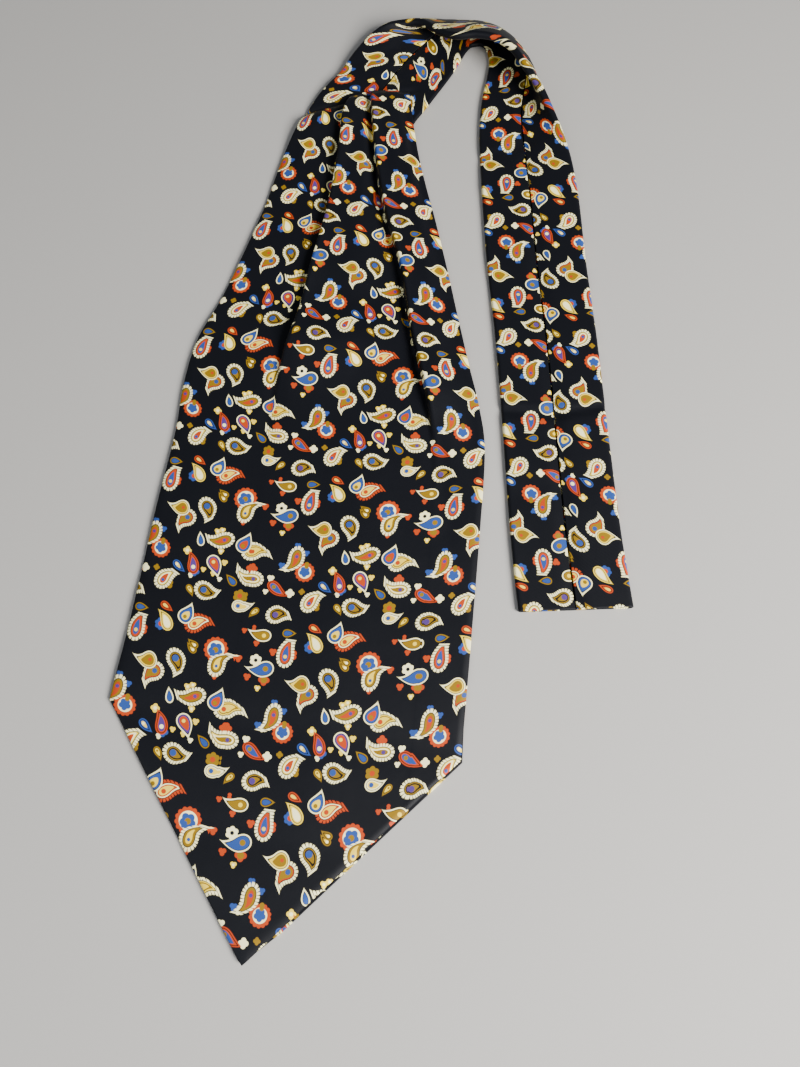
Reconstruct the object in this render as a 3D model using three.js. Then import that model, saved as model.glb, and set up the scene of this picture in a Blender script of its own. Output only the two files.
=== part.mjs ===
import * as THREE from 'three';

// A silk day cravat laid flat: one pleated, pointed blade on a long folded neck band.
// All sizes are in millimetres. Z is up and the table is at Z = 0.

// Driving sizes
const WALL = 1.0; // thickness of the cloth wall
const SEAM_GAP = 0.3; // space left between pieces that are sewn together
const BAND_END_HEIGHT = 2.6; // pressed height of the folded band where the blade covers it
const BAND_HEIGHT = 3.0; // height of the folded band at its inner edge
const BAND_PUFF = 1.4; // how much higher the band's outer edge stands
const SLIT = 0.8; // opening of the seam down the middle of the band
const SEAM_DIP = 0.7; // how far the band sinks beside that seam
const SEAM_DIP_REACH = 5.0; // half width of that sunk strip
const CREASE_DEPTH = 1.0; // depth of the crosswise fold in the tail
const CREASE_REACH = 2.2; // half width of the crosswise fold
const CREASE_Y = 67.5; // place of the crosswise fold
const FACING_INSET = 1.2; // the back of the blade ends this far inside the front
const FACING_SHOW = 1.3; // and shows by this much along the right slant of the point
const FOLD_ARC = 2.04; // length of cloth in the turn of a pleat's fold
const LEAN_OUT = 1.0; // slope allowance beyond a pleat's hidden fold
const BASE = WALL + SEAM_GAP + WALL / 2; // middle of the front's wall over the facing
const TIP = { x: -68, y: -196 }; // tip of the point
const TIP_SHARE = 0.455; // place of the tip across the blade, as a share of its width

// The tables below are measured from a mark on the table; CENTRE moves the part to its origin.
const CENTRE = { x: -11.4, y: 73.9 };

// Neck band, one row for each section, from its end under the blade to the end of the tail.
// foot: inner edge on the table. reach: how far out the cloth goes before it turns up.
// edge: outer folded edge.
const BAND_COLUMNS = ['footX', 'footY', 'reachX', 'reachY', 'reachZ', 'edgeX', 'edgeY', 'edgeZ'];
const BAND_ROWS = [
  [8, 262, -25, 265, 0, -59, 268, 0],
  [10, 266, -21, 276, 0, -50, 286, 0],
  [14, 272, -14, 287, 0, -39, 301, 0],
  [24, 288, -5, 304, 0, -28, 319, 2],
  [33, 303, 3, 319, 0, -17, 332, 5],
  [39, 315, 8, 334, 0, -4, 338, 10],
  [42, 321, 18, 346, 6, 12, 333, 15],
  [45, 325, 31, 347, 11, 24, 320, 18],
  [48, 326, 42, 346, 13, 34, 313, 21],
  [52, 326, 54, 344, 13, 46, 312, 23],
  [55, 321, 67, 335, 14, 58, 308, 24],
  [56, 311, 79, 320, 12, 68, 300, 24],
  [54, 298, 87, 302, 7, 77, 286, 22],
  [51, 284, 87, 284, 0, 87, 274, 17],
  [49, 268, 82, 266, 0, 95, 258, 11],
  [48, 250, 76, 249, 0, 100, 242, 6],
  [48, 228, 76, 227, 0, 103, 225, 3],
  [48.5, 200, 76, 199, 0, 105, 198, 1],
  [49.5, 163, 78, 162, 0, 106, 161, 0],
  [52, 122, 80, 121, 0, 108, 120, 0],
  [53.5, 86, 81, 86, 0, 109, 85, 0],
  [54.5, 50, 82, 49, 0, 110, 48, 0],
  [55.5, 7, 83, 5, 0, 111.5, 4, 0],
  [57, -26, 85, -26, 0, 113.5, -26, 0],
  [58, -41, 86, -40, 0, 114.5, -39, 0],
];
const TURN_START = 4; // row where the left stretch ends and the turn begins
const TURN_END = 14; // row where the turn ends and the tail begins

// Front of the blade, one row for each section, from the band down to the start of the point.
// The corners of a row: left edge, first pleat, second pleat, right edge.
// under: cloth folded away under a pleat. turn: how far its fold is turned over, in degrees.
const BLADE_COLUMNS = [
  'leftX', 'leftY', 'pleatAX', 'pleatAY', 'pleatBX', 'pleatBY', 'rightX', 'rightY',
  'underA', 'underB', 'turnA', 'turnB', 'lift',
];
const BLADE_ROWS = [
  [-58, 268.5, -29.5, 280, -17, 284, 6, 287, 5, 10, 180, 180, 2.4],
  [-63, 257, -34, 266, -16.5, 270, 7, 270, 7, 12, 180, 180, 2.4],
  [-70, 237, -36, 240, -14, 238, 11.5, 236, 13, 15, 180, 180, 0],
  [-79.5, 200, -41.5, 198, -8, 196, 19.5, 196, 14, 15, 180, 180, 0],
  [-90.5, 165, -49.5, 160, 1, 157, 27.5, 153, 11, 11, 180, 180, 0],
  [-101, 136, -56, 126, 6, 122, 33.5, 118, 6, 7, 180, 180, 0],
  [-111.5, 111, -61.5, 103, 10, 99, 37.5, 95, 2, 4, 100, 180, 0],
  [-116.5, 84, -64.5, 77, 15.5, 73, 42, 71, 0.6, 1.6, 20, 100, 0],
  [-118.5, 55, -66.5, 48, 20, 45, 44.2, 44, 0.6, 0.6, 0, 20, 0],
  [-124.5, 13, -70, 2, 18, -4, 39.5, -7, 0.6, 0.6, 0, 0, 0],
  [-132, -49, -76, -60, 12, -65, 33, -67, 0.6, 0.6, 0, 0, 0],
];
const LEFT_CORNER = { x: -137.3, y: -83 };
const RIGHT_CORNER = { x: 28, y: -111 };

// Soft troughs across the blade, one row each: place down the blade at the middle, slope of
// the trough to the right, half width and depth.
const TROUGH_COLUMNS = ['y', 'slope', 'reach', 'depth'];
const TROUGH_ROWS = [
  [206, 0.05, 13, 0.7],
  [138, -0.04, 16, 0.6],
  [-28, 0.1, 15, 0.7],
  [-98, -0.06, 12, 0.8],
  [-152, 0.12, 11, 0.6],
];

function readTable(columns, rows) {
  return rows.map((row) => Object.fromEntries(columns.map((name, i) => [name, row[i]])));
}

const BAND = readTable(BAND_COLUMNS, BAND_ROWS);
const BLADE = readTable(BLADE_COLUMNS, BLADE_ROWS);
const TROUGHS = readTable(TROUGH_COLUMNS, TROUGH_ROWS);

function smooth(t) {
  const s = Math.min(Math.max(t, 0), 1);
  return s * s * (3 - 2 * s);
}

// One smooth curve through a column of a table, at row number b.
function through(table, name, b) {
  const last = table.length - 1;
  const i = Math.min(Math.floor(b), last - 1);
  const t = b - i;
  const at = (k) => table[Math.min(Math.max(k, 0), last)][name];
  const before = i > 0 ? at(i - 1) : 2 * at(0) - at(1);
  const after = i + 2 <= last ? at(i + 2) : 2 * at(last) - at(last - 1);
  const slopeIn = (at(i + 1) - before) / 2;
  const slopeOut = (after - at(i)) / 2;
  const t2 = t * t;
  const t3 = t2 * t;
  return (2 * t3 - 3 * t2 + 1) * at(i) + (t3 - 2 * t2 + t) * slopeIn
    + (3 * t2 - 2 * t3) * at(i + 1) + (t3 - t2) * slopeOut;
}

function evenSteps(from, to, count) {
  return Array.from({ length: count + 1 }, (_, i) => from + ((to - from) * i) / count);
}

// Direction square to a sheet at (a, b), from its neighbouring points.
function sheetNormal(place, a, b) {
  const step = 1e-4;
  const alongA = place(a + step, b).sub(place(a - step, b));
  const alongB = place(a, b + step).sub(place(a, b - step));
  return alongA.cross(alongB).normalize();
}

// A closed wall of even thickness round the sheet place(a, b), as one mesh.
function clothWall(place, aValues, bValues, thickness) {
  const positions = [];
  for (const b of bValues) {
    for (const a of aValues) {
      const middle = place(a, b);
      const normal = sheetNormal(place, a, b).multiplyScalar(thickness / 2);
      for (const side of [1, -1]) {
        const point = middle.clone().addScaledVector(normal, side);
        point.z = Math.max(point.z, 0);
        positions.push(point.x - CENTRE.x, point.y - CENTRE.y, point.z);
      }
    }
  }
  const wide = aValues.length;
  const long = bValues.length;
  const at = (i, j, side) => 2 * (j * wide + i) + side;
  const index = [];
  const quad = (p, q, r, s) => index.push(p, q, r, p, r, s);
  for (let j = 0; j + 1 < long; j += 1) {
    for (let i = 0; i + 1 < wide; i += 1) {
      quad(at(i, j, 0), at(i + 1, j, 0), at(i + 1, j + 1, 0), at(i, j + 1, 0));
      quad(at(i, j, 1), at(i, j + 1, 1), at(i + 1, j + 1, 1), at(i + 1, j, 1));
    }
    quad(at(0, j, 0), at(0, j + 1, 0), at(0, j + 1, 1), at(0, j, 1));
    quad(at(wide - 1, j, 0), at(wide - 1, j, 1), at(wide - 1, j + 1, 1), at(wide - 1, j + 1, 0));
  }
  for (let i = 0; i + 1 < wide; i += 1) {
    quad(at(i, 0, 0), at(i, 0, 1), at(i + 1, 0, 1), at(i + 1, 0, 0));
    quad(at(i, long - 1, 0), at(i + 1, long - 1, 0), at(i + 1, long - 1, 1), at(i, long - 1, 1));
  }
  return closedGeometry(positions, index);
}

// Geometry with its faces turned outward, judged by the sign of its volume.
function closedGeometry(positions, index) {
  const corner = (k) => new THREE.Vector3().fromArray(positions, 3 * index[k]);
  let volume = 0;
  for (let k = 0; k < index.length; k += 3) {
    volume += corner(k).dot(corner(k + 1).cross(corner(k + 2)));
  }
  if (volume < 0) {
    index.reverse();
  }
  const geometry = new THREE.BufferGeometry();
  geometry.setAttribute('position', new THREE.Float32BufferAttribute(positions, 3));
  geometry.setIndex(index);
  geometry.computeVertexNormals();
  return geometry;
}

// Under side of the band: a curve from the foot, out along the table and over to the edge.
function bandCurve(t, b) {
  const value = (name) => through(BAND, name, b);
  const u = 1 - t;
  const ends = (foot, reach, edge) => u ** 3 * foot + 3 * t * u * reach + t ** 3 * edge;
  return new THREE.Vector3(
    ends(value('footX'), value('reachX'), value('edgeX')),
    ends(value('footY'), value('reachY'), value('edgeY')),
    3 * t * t * u * value('reachZ') + t ** 3 * value('edgeZ'),
  );
}

const CURVE_STEPS = 48;
const curveStore = new Map();

// Lengths along that curve, so that a place on it can be given in millimetres of cloth.
function curveLengths(b) {
  const key = b.toFixed(6);
  if (!curveStore.has(key)) {
    const lengths = [0];
    let before = bandCurve(0, b);
    for (let i = 1; i <= CURVE_STEPS; i += 1) {
      const point = bandCurve(i / CURVE_STEPS, b);
      lengths.push(lengths[i - 1] + point.distanceTo(before));
      before = point;
    }
    curveStore.set(key, lengths);
  }
  return curveStore.get(key);
}

// Point of the under side at a share of the band's width.
function bandUnder(share, b) {
  const lengths = curveLengths(b);
  const wanted = share * lengths[CURVE_STEPS];
  let i = 0;
  while (i < CURVE_STEPS - 1 && lengths[i + 1] < wanted) {
    i += 1;
  }
  const t = (i + (wanted - lengths[i]) / (lengths[i + 1] - lengths[i])) / CURVE_STEPS;
  return bandCurve(t, b);
}

// Height of the folded band over its under side.
function bandHeight(share, b) {
  const width = curveLengths(b)[CURVE_STEPS];
  const pressed = 1 - smooth(b / 2);
  const fromSeam = ((share - 0.5) * width) / SEAM_DIP_REACH;
  const fromCrease = (through(BAND, 'footY', b) - CREASE_Y) / CREASE_REACH;
  const crease = b > TURN_END ? CREASE_DEPTH * Math.exp(-fromCrease * fromCrease) : 0;
  const open = BAND_HEIGHT + BAND_PUFF * smooth(share) - SEAM_DIP * Math.exp(-fromSeam * fromSeam) - crease;
  return open + (BAND_END_HEIGHT - open) * pressed;
}

// Middle of the band's wall, going round from one lip of the seam to the other:
// a from 0 to 1 is the inner face, 1 to 2 its fold, 2 to 3 the under side,
// 3 to 4 the outer fold, and 4 to 5 the outer face.
function bandPlace(a, b) {
  const width = curveLengths(b)[CURVE_STEPS];
  const lip = 0.5 - SLIT / 2 / width;
  const bend = (share) => (bandHeight(share, b) - WALL) / 2;
  const startIn = (bend(0) + WALL / 2) / width;
  const startOut = 1 - (bend(1) + WALL / 2) / width;
  let share;
  let height;
  if (a <= 1) {
    share = lip + (startIn - lip) * a;
    height = bandHeight(share, b) - WALL / 2;
  } else if (a < 2) {
    const angle = Math.PI * (a - 1);
    const radius = (bandHeight(startIn, b) - WALL) / 2;
    share = startIn - (radius * Math.sin(angle)) / width;
    height = WALL / 2 + radius * (1 + Math.cos(angle));
  } else if (a <= 3) {
    share = startIn + (startOut - startIn) * (a - 2);
    height = WALL / 2;
  } else if (a < 4) {
    const angle = Math.PI * (a - 3);
    const radius = (bandHeight(startOut, b) - WALL) / 2;
    share = startOut + (radius * Math.sin(angle)) / width;
    height = WALL / 2 + radius * (1 - Math.cos(angle));
  } else {
    share = startOut + (1 - lip - startOut) * (a - 4);
    height = bandHeight(share, b) - WALL / 2;
  }
  const up = sheetNormal(bandUnder, Math.min(Math.max(share, 0.001), 0.999), b).negate();
  return bandUnder(share, b).addScaledVector(up, height);
}

// Steps round the band, closer together in the folds.
function bandRound(face, fold, under) {
  return [
    ...evenSteps(0, 1, face),
    ...evenSteps(1, 2, fold).slice(1),
    ...evenSteps(2, 3, under).slice(1),
    ...evenSteps(3, 4, fold).slice(1),
    ...evenSteps(4, 5, face).slice(1),
  ];
}

// Length and direction of the cloth in one pleat: a fold under, a way back and a fold over.
function pleatShift(under, turn) {
  const angle = Math.max((turn * Math.PI) / 180, 0.02);
  const along = (2 * FOLD_ARC * Math.sin(angle)) / angle + under * Math.cos(angle);
  const rise = (2 * FOLD_ARC * (1 - Math.cos(angle))) / angle + under * Math.sin(angle);
  return { angle, along, rise };
}

// Way across the blade at row b, as places across and up, in nine stretches:
// panel, fold, way back, fold, panel, fold, way back, fold, panel.
function bladeSection(a, b) {
  const row = (name) => through(BLADE, name, b);
  const lengthOf = (from, to) => Math.hypot(row(`${to}X`) - row(`${from}X`), row(`${to}Y`) - row(`${from}Y`));
  const panels = [lengthOf('left', 'pleatA'), lengthOf('pleatA', 'pleatB'), lengthOf('pleatB', 'right')];
  const unders = [Math.max(row('underA'), 0.5), Math.max(row('underB'), 0.5)];
  const turns = [row('turnA'), row('turnB')];
  const stretch = Math.min(Math.floor(a), 8);
  const part = a - stretch;
  let across = 0;
  let up = 0;
  for (let k = 0; k < 3; k += 1) {
    const shift = k < 2 ? pleatShift(unders[k], turns[k]) : { angle: 0, along: 0, rise: 0 };
    const start = across;
    const panel = panels[k] - (k < 2 ? shift.along : 0);
    const fall = k > 0 ? unders[k - 1] + LEAN_OUT : 0;
    const drop = (way) => up * (1 - smooth((way - fall) / Math.max(panels[k] - fall - LEAN_OUT, 1)));
    if (stretch === 4 * k) {
      return { across: start + panel * part, up: drop(panel * part) };
    }
    across = start + panel;
    up = drop(panel);
    if (k === 2) {
      break;
    }
    const curve = FOLD_ARC / shift.angle;
    const turned = shift.angle * part;
    if (stretch === 4 * k + 1) {
      return { across: across + curve * Math.sin(turned), up: up + curve * (1 - Math.cos(turned)) };
    }
    const foldAlong = curve * Math.sin(shift.angle);
    const foldUp = curve * (1 - Math.cos(shift.angle));
    across += foldAlong;
    up += foldUp;
    if (stretch === 4 * k + 2) {
      return {
        across: across + unders[k] * part * Math.cos(shift.angle),
        up: up + unders[k] * part * Math.sin(shift.angle),
      };
    }
    across += unders[k] * Math.cos(shift.angle);
    up += unders[k] * Math.sin(shift.angle);
    if (stretch === 4 * k + 3) {
      return {
        across: across + foldAlong - curve * Math.sin(shift.angle - turned),
        up: up + foldUp - curve * (1 - Math.cos(shift.angle - turned)),
      };
    }
    across += foldAlong;
    up += foldUp;
  }
  return { across, up };
}

// Place on the table under a point of row b that lies this far across the blade.
function bladeGround(across, b) {
  const row = (name) => through(BLADE, name, b);
  const names = ['left', 'pleatA', 'pleatB', 'right'];
  const corners = names.map((name) => new THREE.Vector2(row(`${name}X`), row(`${name}Y`)));
  let rest = across;
  for (let k = 0; k < 3; k += 1) {
    const length = corners[k].distanceTo(corners[k + 1]);
    if (rest <= length || k === 2) {
      return corners[k].clone().lerp(corners[k + 1], rest / length);
    }
    rest -= length;
  }
  return corners[3];
}

// Lower edge of the blade at a share of its width: two slants that meet at the tip.
function pointEdge(share) {
  const from = share < TIP_SHARE ? LEFT_CORNER : TIP;
  const to = share < TIP_SHARE ? TIP : RIGHT_CORNER;
  const part = share < TIP_SHARE ? share / TIP_SHARE : (share - TIP_SHARE) / (1 - TIP_SHARE);
  return new THREE.Vector2(from.x + (to.x - from.x) * part, from.y + (to.y - from.y) * part);
}

// Height of the blade's soft waves: it lies lower in each trough.
function troughHeight(ground) {
  const middle = ground.x - TIP.x;
  let height = 0;
  for (const trough of TROUGHS) {
    const away = (ground.y - trough.y - trough.slope * middle) / trough.reach;
    height = Math.max(height, trough.depth * Math.exp(-away * away));
  }
  return -height;
}

const TROUGH_LIFT = 0.8; // height of the blade between its troughs over the facing
const LAST_ROW = BLADE.length - 1;

// Middle of the front's wall; b beyond the last row runs down into the point.
function bladePlace(a, b) {
  const rowB = Math.min(b, LAST_ROW);
  const section = bladeSection(a, rowB);
  const ground = bladeGround(section.across, rowB);
  if (b > LAST_ROW) {
    const end = bladeSection(8.9999, rowB);
    const share = section.across / end.across;
    ground.lerp(pointEdge(Math.min(Math.max(share, 0), 1)), b - LAST_ROW);
  }
  const calm = TROUGH_LIFT * smooth(rowB / 2) + troughHeight(ground) * smooth(rowB / 2);
  const z = BASE + through(BLADE, 'lift', rowB) + calm + section.up;
  return new THREE.Vector3(ground.x, ground.y, z);
}

// Steps across the blade: fine in the folds, with one step on the line to the tip.
function bladeAcross() {
  return [
    ...evenSteps(0, 1, 7),
    ...evenSteps(1, 2, 4).slice(1),
    ...evenSteps(2, 3, 2).slice(1),
    ...evenSteps(3, 4, 4).slice(1),
    ...evenSteps(4, 5, 12).slice(1),
    ...evenSteps(5, 6, 4).slice(1),
    ...evenSteps(6, 7, 2).slice(1),
    ...evenSteps(7, 8, 4).slice(1),
    ...evenSteps(8, 8.9999, 5).slice(1),
  ];
}

// Outline of the blade's back, from the front's own edges moved in, and out at the right slant.
function facingShape() {
  const points = [];
  const side = (name, b, shift) => {
    points.push([through(BLADE, `${name}X`, b) + shift, through(BLADE, `${name}Y`, b)]);
  };
  const firstLeft = 1.2; // rows where the back's two sides begin, below the band
  const firstRight = 1.45;
  for (const b of evenSteps(firstLeft, LAST_ROW, 24)) {
    side('left', b, FACING_INSET);
  }
  points.push([LEFT_CORNER.x + FACING_INSET, LEFT_CORNER.y]);
  points.push([TIP.x + FACING_INSET / 2, TIP.y + FACING_INSET * 2]);
  points.push([RIGHT_CORNER.x + FACING_SHOW / 2, RIGHT_CORNER.y - FACING_SHOW]);
  for (const b of evenSteps(LAST_ROW, firstRight, 24)) {
    side('right', b, -FACING_INSET);
  }
  const end = BAND[0];
  points.push([end.footX - FACING_INSET * 2, end.footY - 2 * SEAM_GAP]);
  points.push([end.edgeX + FACING_INSET, end.edgeY - 2 * SEAM_GAP]);
  return new THREE.Shape(points.map(([x, y]) => new THREE.Vector2(x - CENTRE.x, y - CENTRE.y)));
}

const FACING_COLOUR = 0x191a1e;
const FRONT_COLOUR = 0x1d1f25;
const BAND_COLOUR = 0x1c1e23;

function silk(colour) {
  return new THREE.MeshStandardMaterial({ color: colour, roughness: 0.55, metalness: 0 });
}

function piece(name, geometry, colour) {
  const mesh = new THREE.Mesh(geometry, silk(colour));
  mesh.name = name;
  return mesh;
}

function bandPiece(name, fromRow, toRow, steps) {
  const geometry = clothWall(bandPlace, bandRound(6, 4, 12), evenSteps(fromRow, toRow, steps), WALL);
  return piece(name, geometry, BAND_COLOUR);
}

const GAP_SHARE = 0.012; // half of the gap between two stretches, as a share of a row's spacing

const facing = new THREE.ExtrudeGeometry(facingShape(), { depth: WALL, bevelEnabled: false });
const bladeRows = [...evenSteps(0, LAST_ROW, 32), ...evenSteps(LAST_ROW, LAST_ROW + 1, 6).slice(1)];
const front = clothWall(bladePlace, bladeAcross(), bladeRows, WALL);

const cravat = new THREE.Group();
cravat.add(piece('blade_facing', facing, FACING_COLOUR));
cravat.add(piece('blade_front', front, FRONT_COLOUR));
cravat.add(bandPiece('band_stretch', 0, TURN_START - GAP_SHARE, 12));
cravat.add(bandPiece('band_turn', TURN_START + GAP_SHARE, TURN_END - GAP_SHARE, 30));
cravat.add(bandPiece('band_tail', TURN_END + GAP_SHARE, BAND.length - 1, 30));

export default cravat;
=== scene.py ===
"""Looks of a silk day cravat laid flat: printed silk twill, soft studio light and the camera.

Lengths are millimetres, and places are measured from one point under the cravat. The last step of
each piece moves them to the part's origin and to metres.
"""

import logging
import math
from dataclasses import dataclass, field
from enum import Enum
from typing import Sequence

import bpy
import numpy as np
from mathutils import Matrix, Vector

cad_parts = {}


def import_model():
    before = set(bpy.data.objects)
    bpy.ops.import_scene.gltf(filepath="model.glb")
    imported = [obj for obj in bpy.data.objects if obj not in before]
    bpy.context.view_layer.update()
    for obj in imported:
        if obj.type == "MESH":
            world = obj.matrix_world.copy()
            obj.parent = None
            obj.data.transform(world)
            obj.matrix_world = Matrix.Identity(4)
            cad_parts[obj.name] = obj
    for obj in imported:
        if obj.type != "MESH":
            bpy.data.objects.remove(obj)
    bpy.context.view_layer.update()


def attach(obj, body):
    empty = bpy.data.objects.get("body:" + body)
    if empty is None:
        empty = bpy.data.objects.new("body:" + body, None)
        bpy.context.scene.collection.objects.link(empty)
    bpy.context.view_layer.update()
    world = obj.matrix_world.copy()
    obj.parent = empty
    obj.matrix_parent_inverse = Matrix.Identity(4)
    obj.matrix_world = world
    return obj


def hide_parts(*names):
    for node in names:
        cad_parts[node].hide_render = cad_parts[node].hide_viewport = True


LOG = logging.getLogger("cravat")

MM = 0.001
CENTRE = np.array([-11.4, 73.9, 0.0])
# Millimetres: how far all cloth stays above the ground, and where finer steps lie from a rounded edge.
LEAST_HEIGHT = 0.02
FINE_STEPS = (0.03, 0.12, 0.26, 0.45, 0.8)
Array = np.ndarray
Tree = bpy.types.NodeTree
Node = bpy.types.Node
Socket = bpy.types.NodeSocket
Material = bpy.types.Material
Object = bpy.types.Object


class Colour(Enum):
    """Colours of the printed silk, as linear red, green and blue."""

    INK = (0.0026, 0.0031, 0.0052)
    CREAM = (0.965, 0.890, 0.480)
    YELLOW = (0.780, 0.560, 0.055)
    GOLD = (0.225, 0.128, 0.004)
    RUST = (0.400, 0.045, 0.006)
    BLUE = (0.022, 0.060, 0.235)
    VIOLET = (0.070, 0.035, 0.180)


@dataclass(frozen=True)
class Silk:
    """Finish of the silk: its shine, its twill lines and how strongly they stand out."""

    roughness: float = 0.52
    sheen: float = 0.02
    specular: float = 0.15
    sheen_roughness: float = 0.4
    twill_way: tuple[float, float] = (0.894, 0.447)
    twill_pitch: float = 0.55
    twill_height: float = 0.012
    slub_height: float = 0.10
    slub_scale: float = 0.09
    slub_detail: float = 2.0


@dataclass(frozen=True)
class Repeat:
    """One repeat of the print: its sizes, how its columns lean and how its rows bow on the blade."""

    across: float = 73.0
    along: float = 77.5
    lean: float = 0.107
    bow_curve: float = 5.5
    bow_slope: float = -6.5

    def bow(self, across: Array | float) -> Array | float:
        """Args: across, millimetres from the middle column. Returns: rise of a row of the print there."""
        share = across / self.across
        return self.bow_curve * share * share + self.bow_slope * share

    def place(self, right: float, down: float) -> tuple[float, float]:
        """Args: right and down, as measured on the blade. Returns: the same place on the flat cloth."""
        across = right + self.lean * down
        return across, down + self.bow(across)


REPEAT = Repeat()

INK, CREAM, YELLOW, GOLD = Colour.INK, Colour.CREAM, Colour.YELLOW, Colour.GOLD
RUST, BLUE, VIOLET = Colour.RUST, Colour.BLUE, Colour.VIOLET


@dataclass(frozen=True)
class Blossom:
    """A small lobed bud or flower: its place, radius, lobes, colours and the radius of its eye."""

    right: float
    down: float
    radius: float
    lobes: int
    colour: Colour
    eye: Colour = INK
    eye_radius: float = 0.0


@dataclass(frozen=True)
class Paisley:
    """A paisley: its middle, the way its tip points, half length, width and bend as shares of that,
    the colours from its outer beads to its eye, the eye's radius, and how far in its core starts."""

    right: float
    down: float
    tip: float
    half: float
    width: float
    bend: float
    beads: Colour | None
    rim: Colour
    body: Colour
    core: Colour
    eye: Colour
    eye_radius: float = 0.0
    blunt: float = 0.0
    core_at: float = 1.9


# Buds, fans and flowers, in the order of a Blossom's fields. The paisleys partly cover them.
BUDS_BEHIND = tuple(
    Blossom(*row)
    for row in (
        (33.3, -12.0, 6.0, 14, RUST, CREAM, 4.1),
        (33.1, -11.7, 3.7, 5, BLUE, GOLD, 1.4),
        (31.2, -10.3, 1.7, 3, BLUE),
        (43.5, -9.3, 1.9, 3, RUST),
        (33.3, 0.6, 1.6, 3, RUST),
        (-35.1, 49.1, 1.4, 3, RUST),
        (-30.5, 47.9, 1.4, 2, RUST),
        (-29.0, 55.4, 1.5, 3, RUST),
        (-20.8, 59.6, 1.9, 3, RUST),
        (-10.8, 61.2, 2.2, 2, RUST),
        (-28.9, 63.6, 2.9, 6, CREAM, INK, 0.9),
        (-32.8, 71.4, 1.8, 3, RUST),
        (-24.8, 73.0, 2.7, 4, RUST, GOLD, 1.5),
        (-27.8, 76.8, 1.5, 3, YELLOW, CREAM, 0.5),
        (20.8, 7.3, 1.7, 3, YELLOW, CREAM, 0.6),
        (23.3, 6.2, 1.5, 3, YELLOW, CREAM, 0.6),
        (23.3, 17.1, 1.6, 3, YELLOW, CREAM, 0.6),
        (-7.3, 19.8, 5.0, 14, RUST, CREAM, 3.2),
        (-7.4, 19.6, 2.8, 5, BLUE),
        (-6.5, 16.3, 1.7, 2, GOLD),
        (-11.3, 6.0, 1.6, 3, BLUE),
        (-6.8, 10.0, 1.6, 3, BLUE),
        (-18.8, 16.3, 1.8, 3, BLUE),
        (-16.9, 18.1, 1.4, 2, CREAM),
        (6.4, 19.2, 2.1, 4, YELLOW, CREAM, 0.8),
        (9.2, 31.4, 1.4, 3, CREAM),
        (15.2, 27.5, 1.4, 3, YELLOW),
        (25.6, 22.5, 1.6, 3, YELLOW),
        (20.2, 28.9, 1.4, 3, YELLOW),
        (23.7, 31.2, 1.3, 3, CREAM),
        (-33.2, 17.7, 2.5, 4, RUST),
        (-24.0, 22.8, 1.8, 3, CREAM),
        (-26.2, 29.6, 1.4, 3, CREAM),
        (-14.2, 30.6, 2.2, 4, CREAM),
        (-8.4, 29.8, 1.6, 4, GOLD),
        (-0.7, 37.4, 2.2, 2, GOLD),
        (-37.8, 31.9, 3.3, 6, GOLD, RUST, 1.2),
        (-3.0, 57.4, 3.0, 7, BLUE, RUST, 1.2),
        (11.0, 29.3, 2.4, 4, BLUE, GOLD, 0.6),
    )
)

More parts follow.
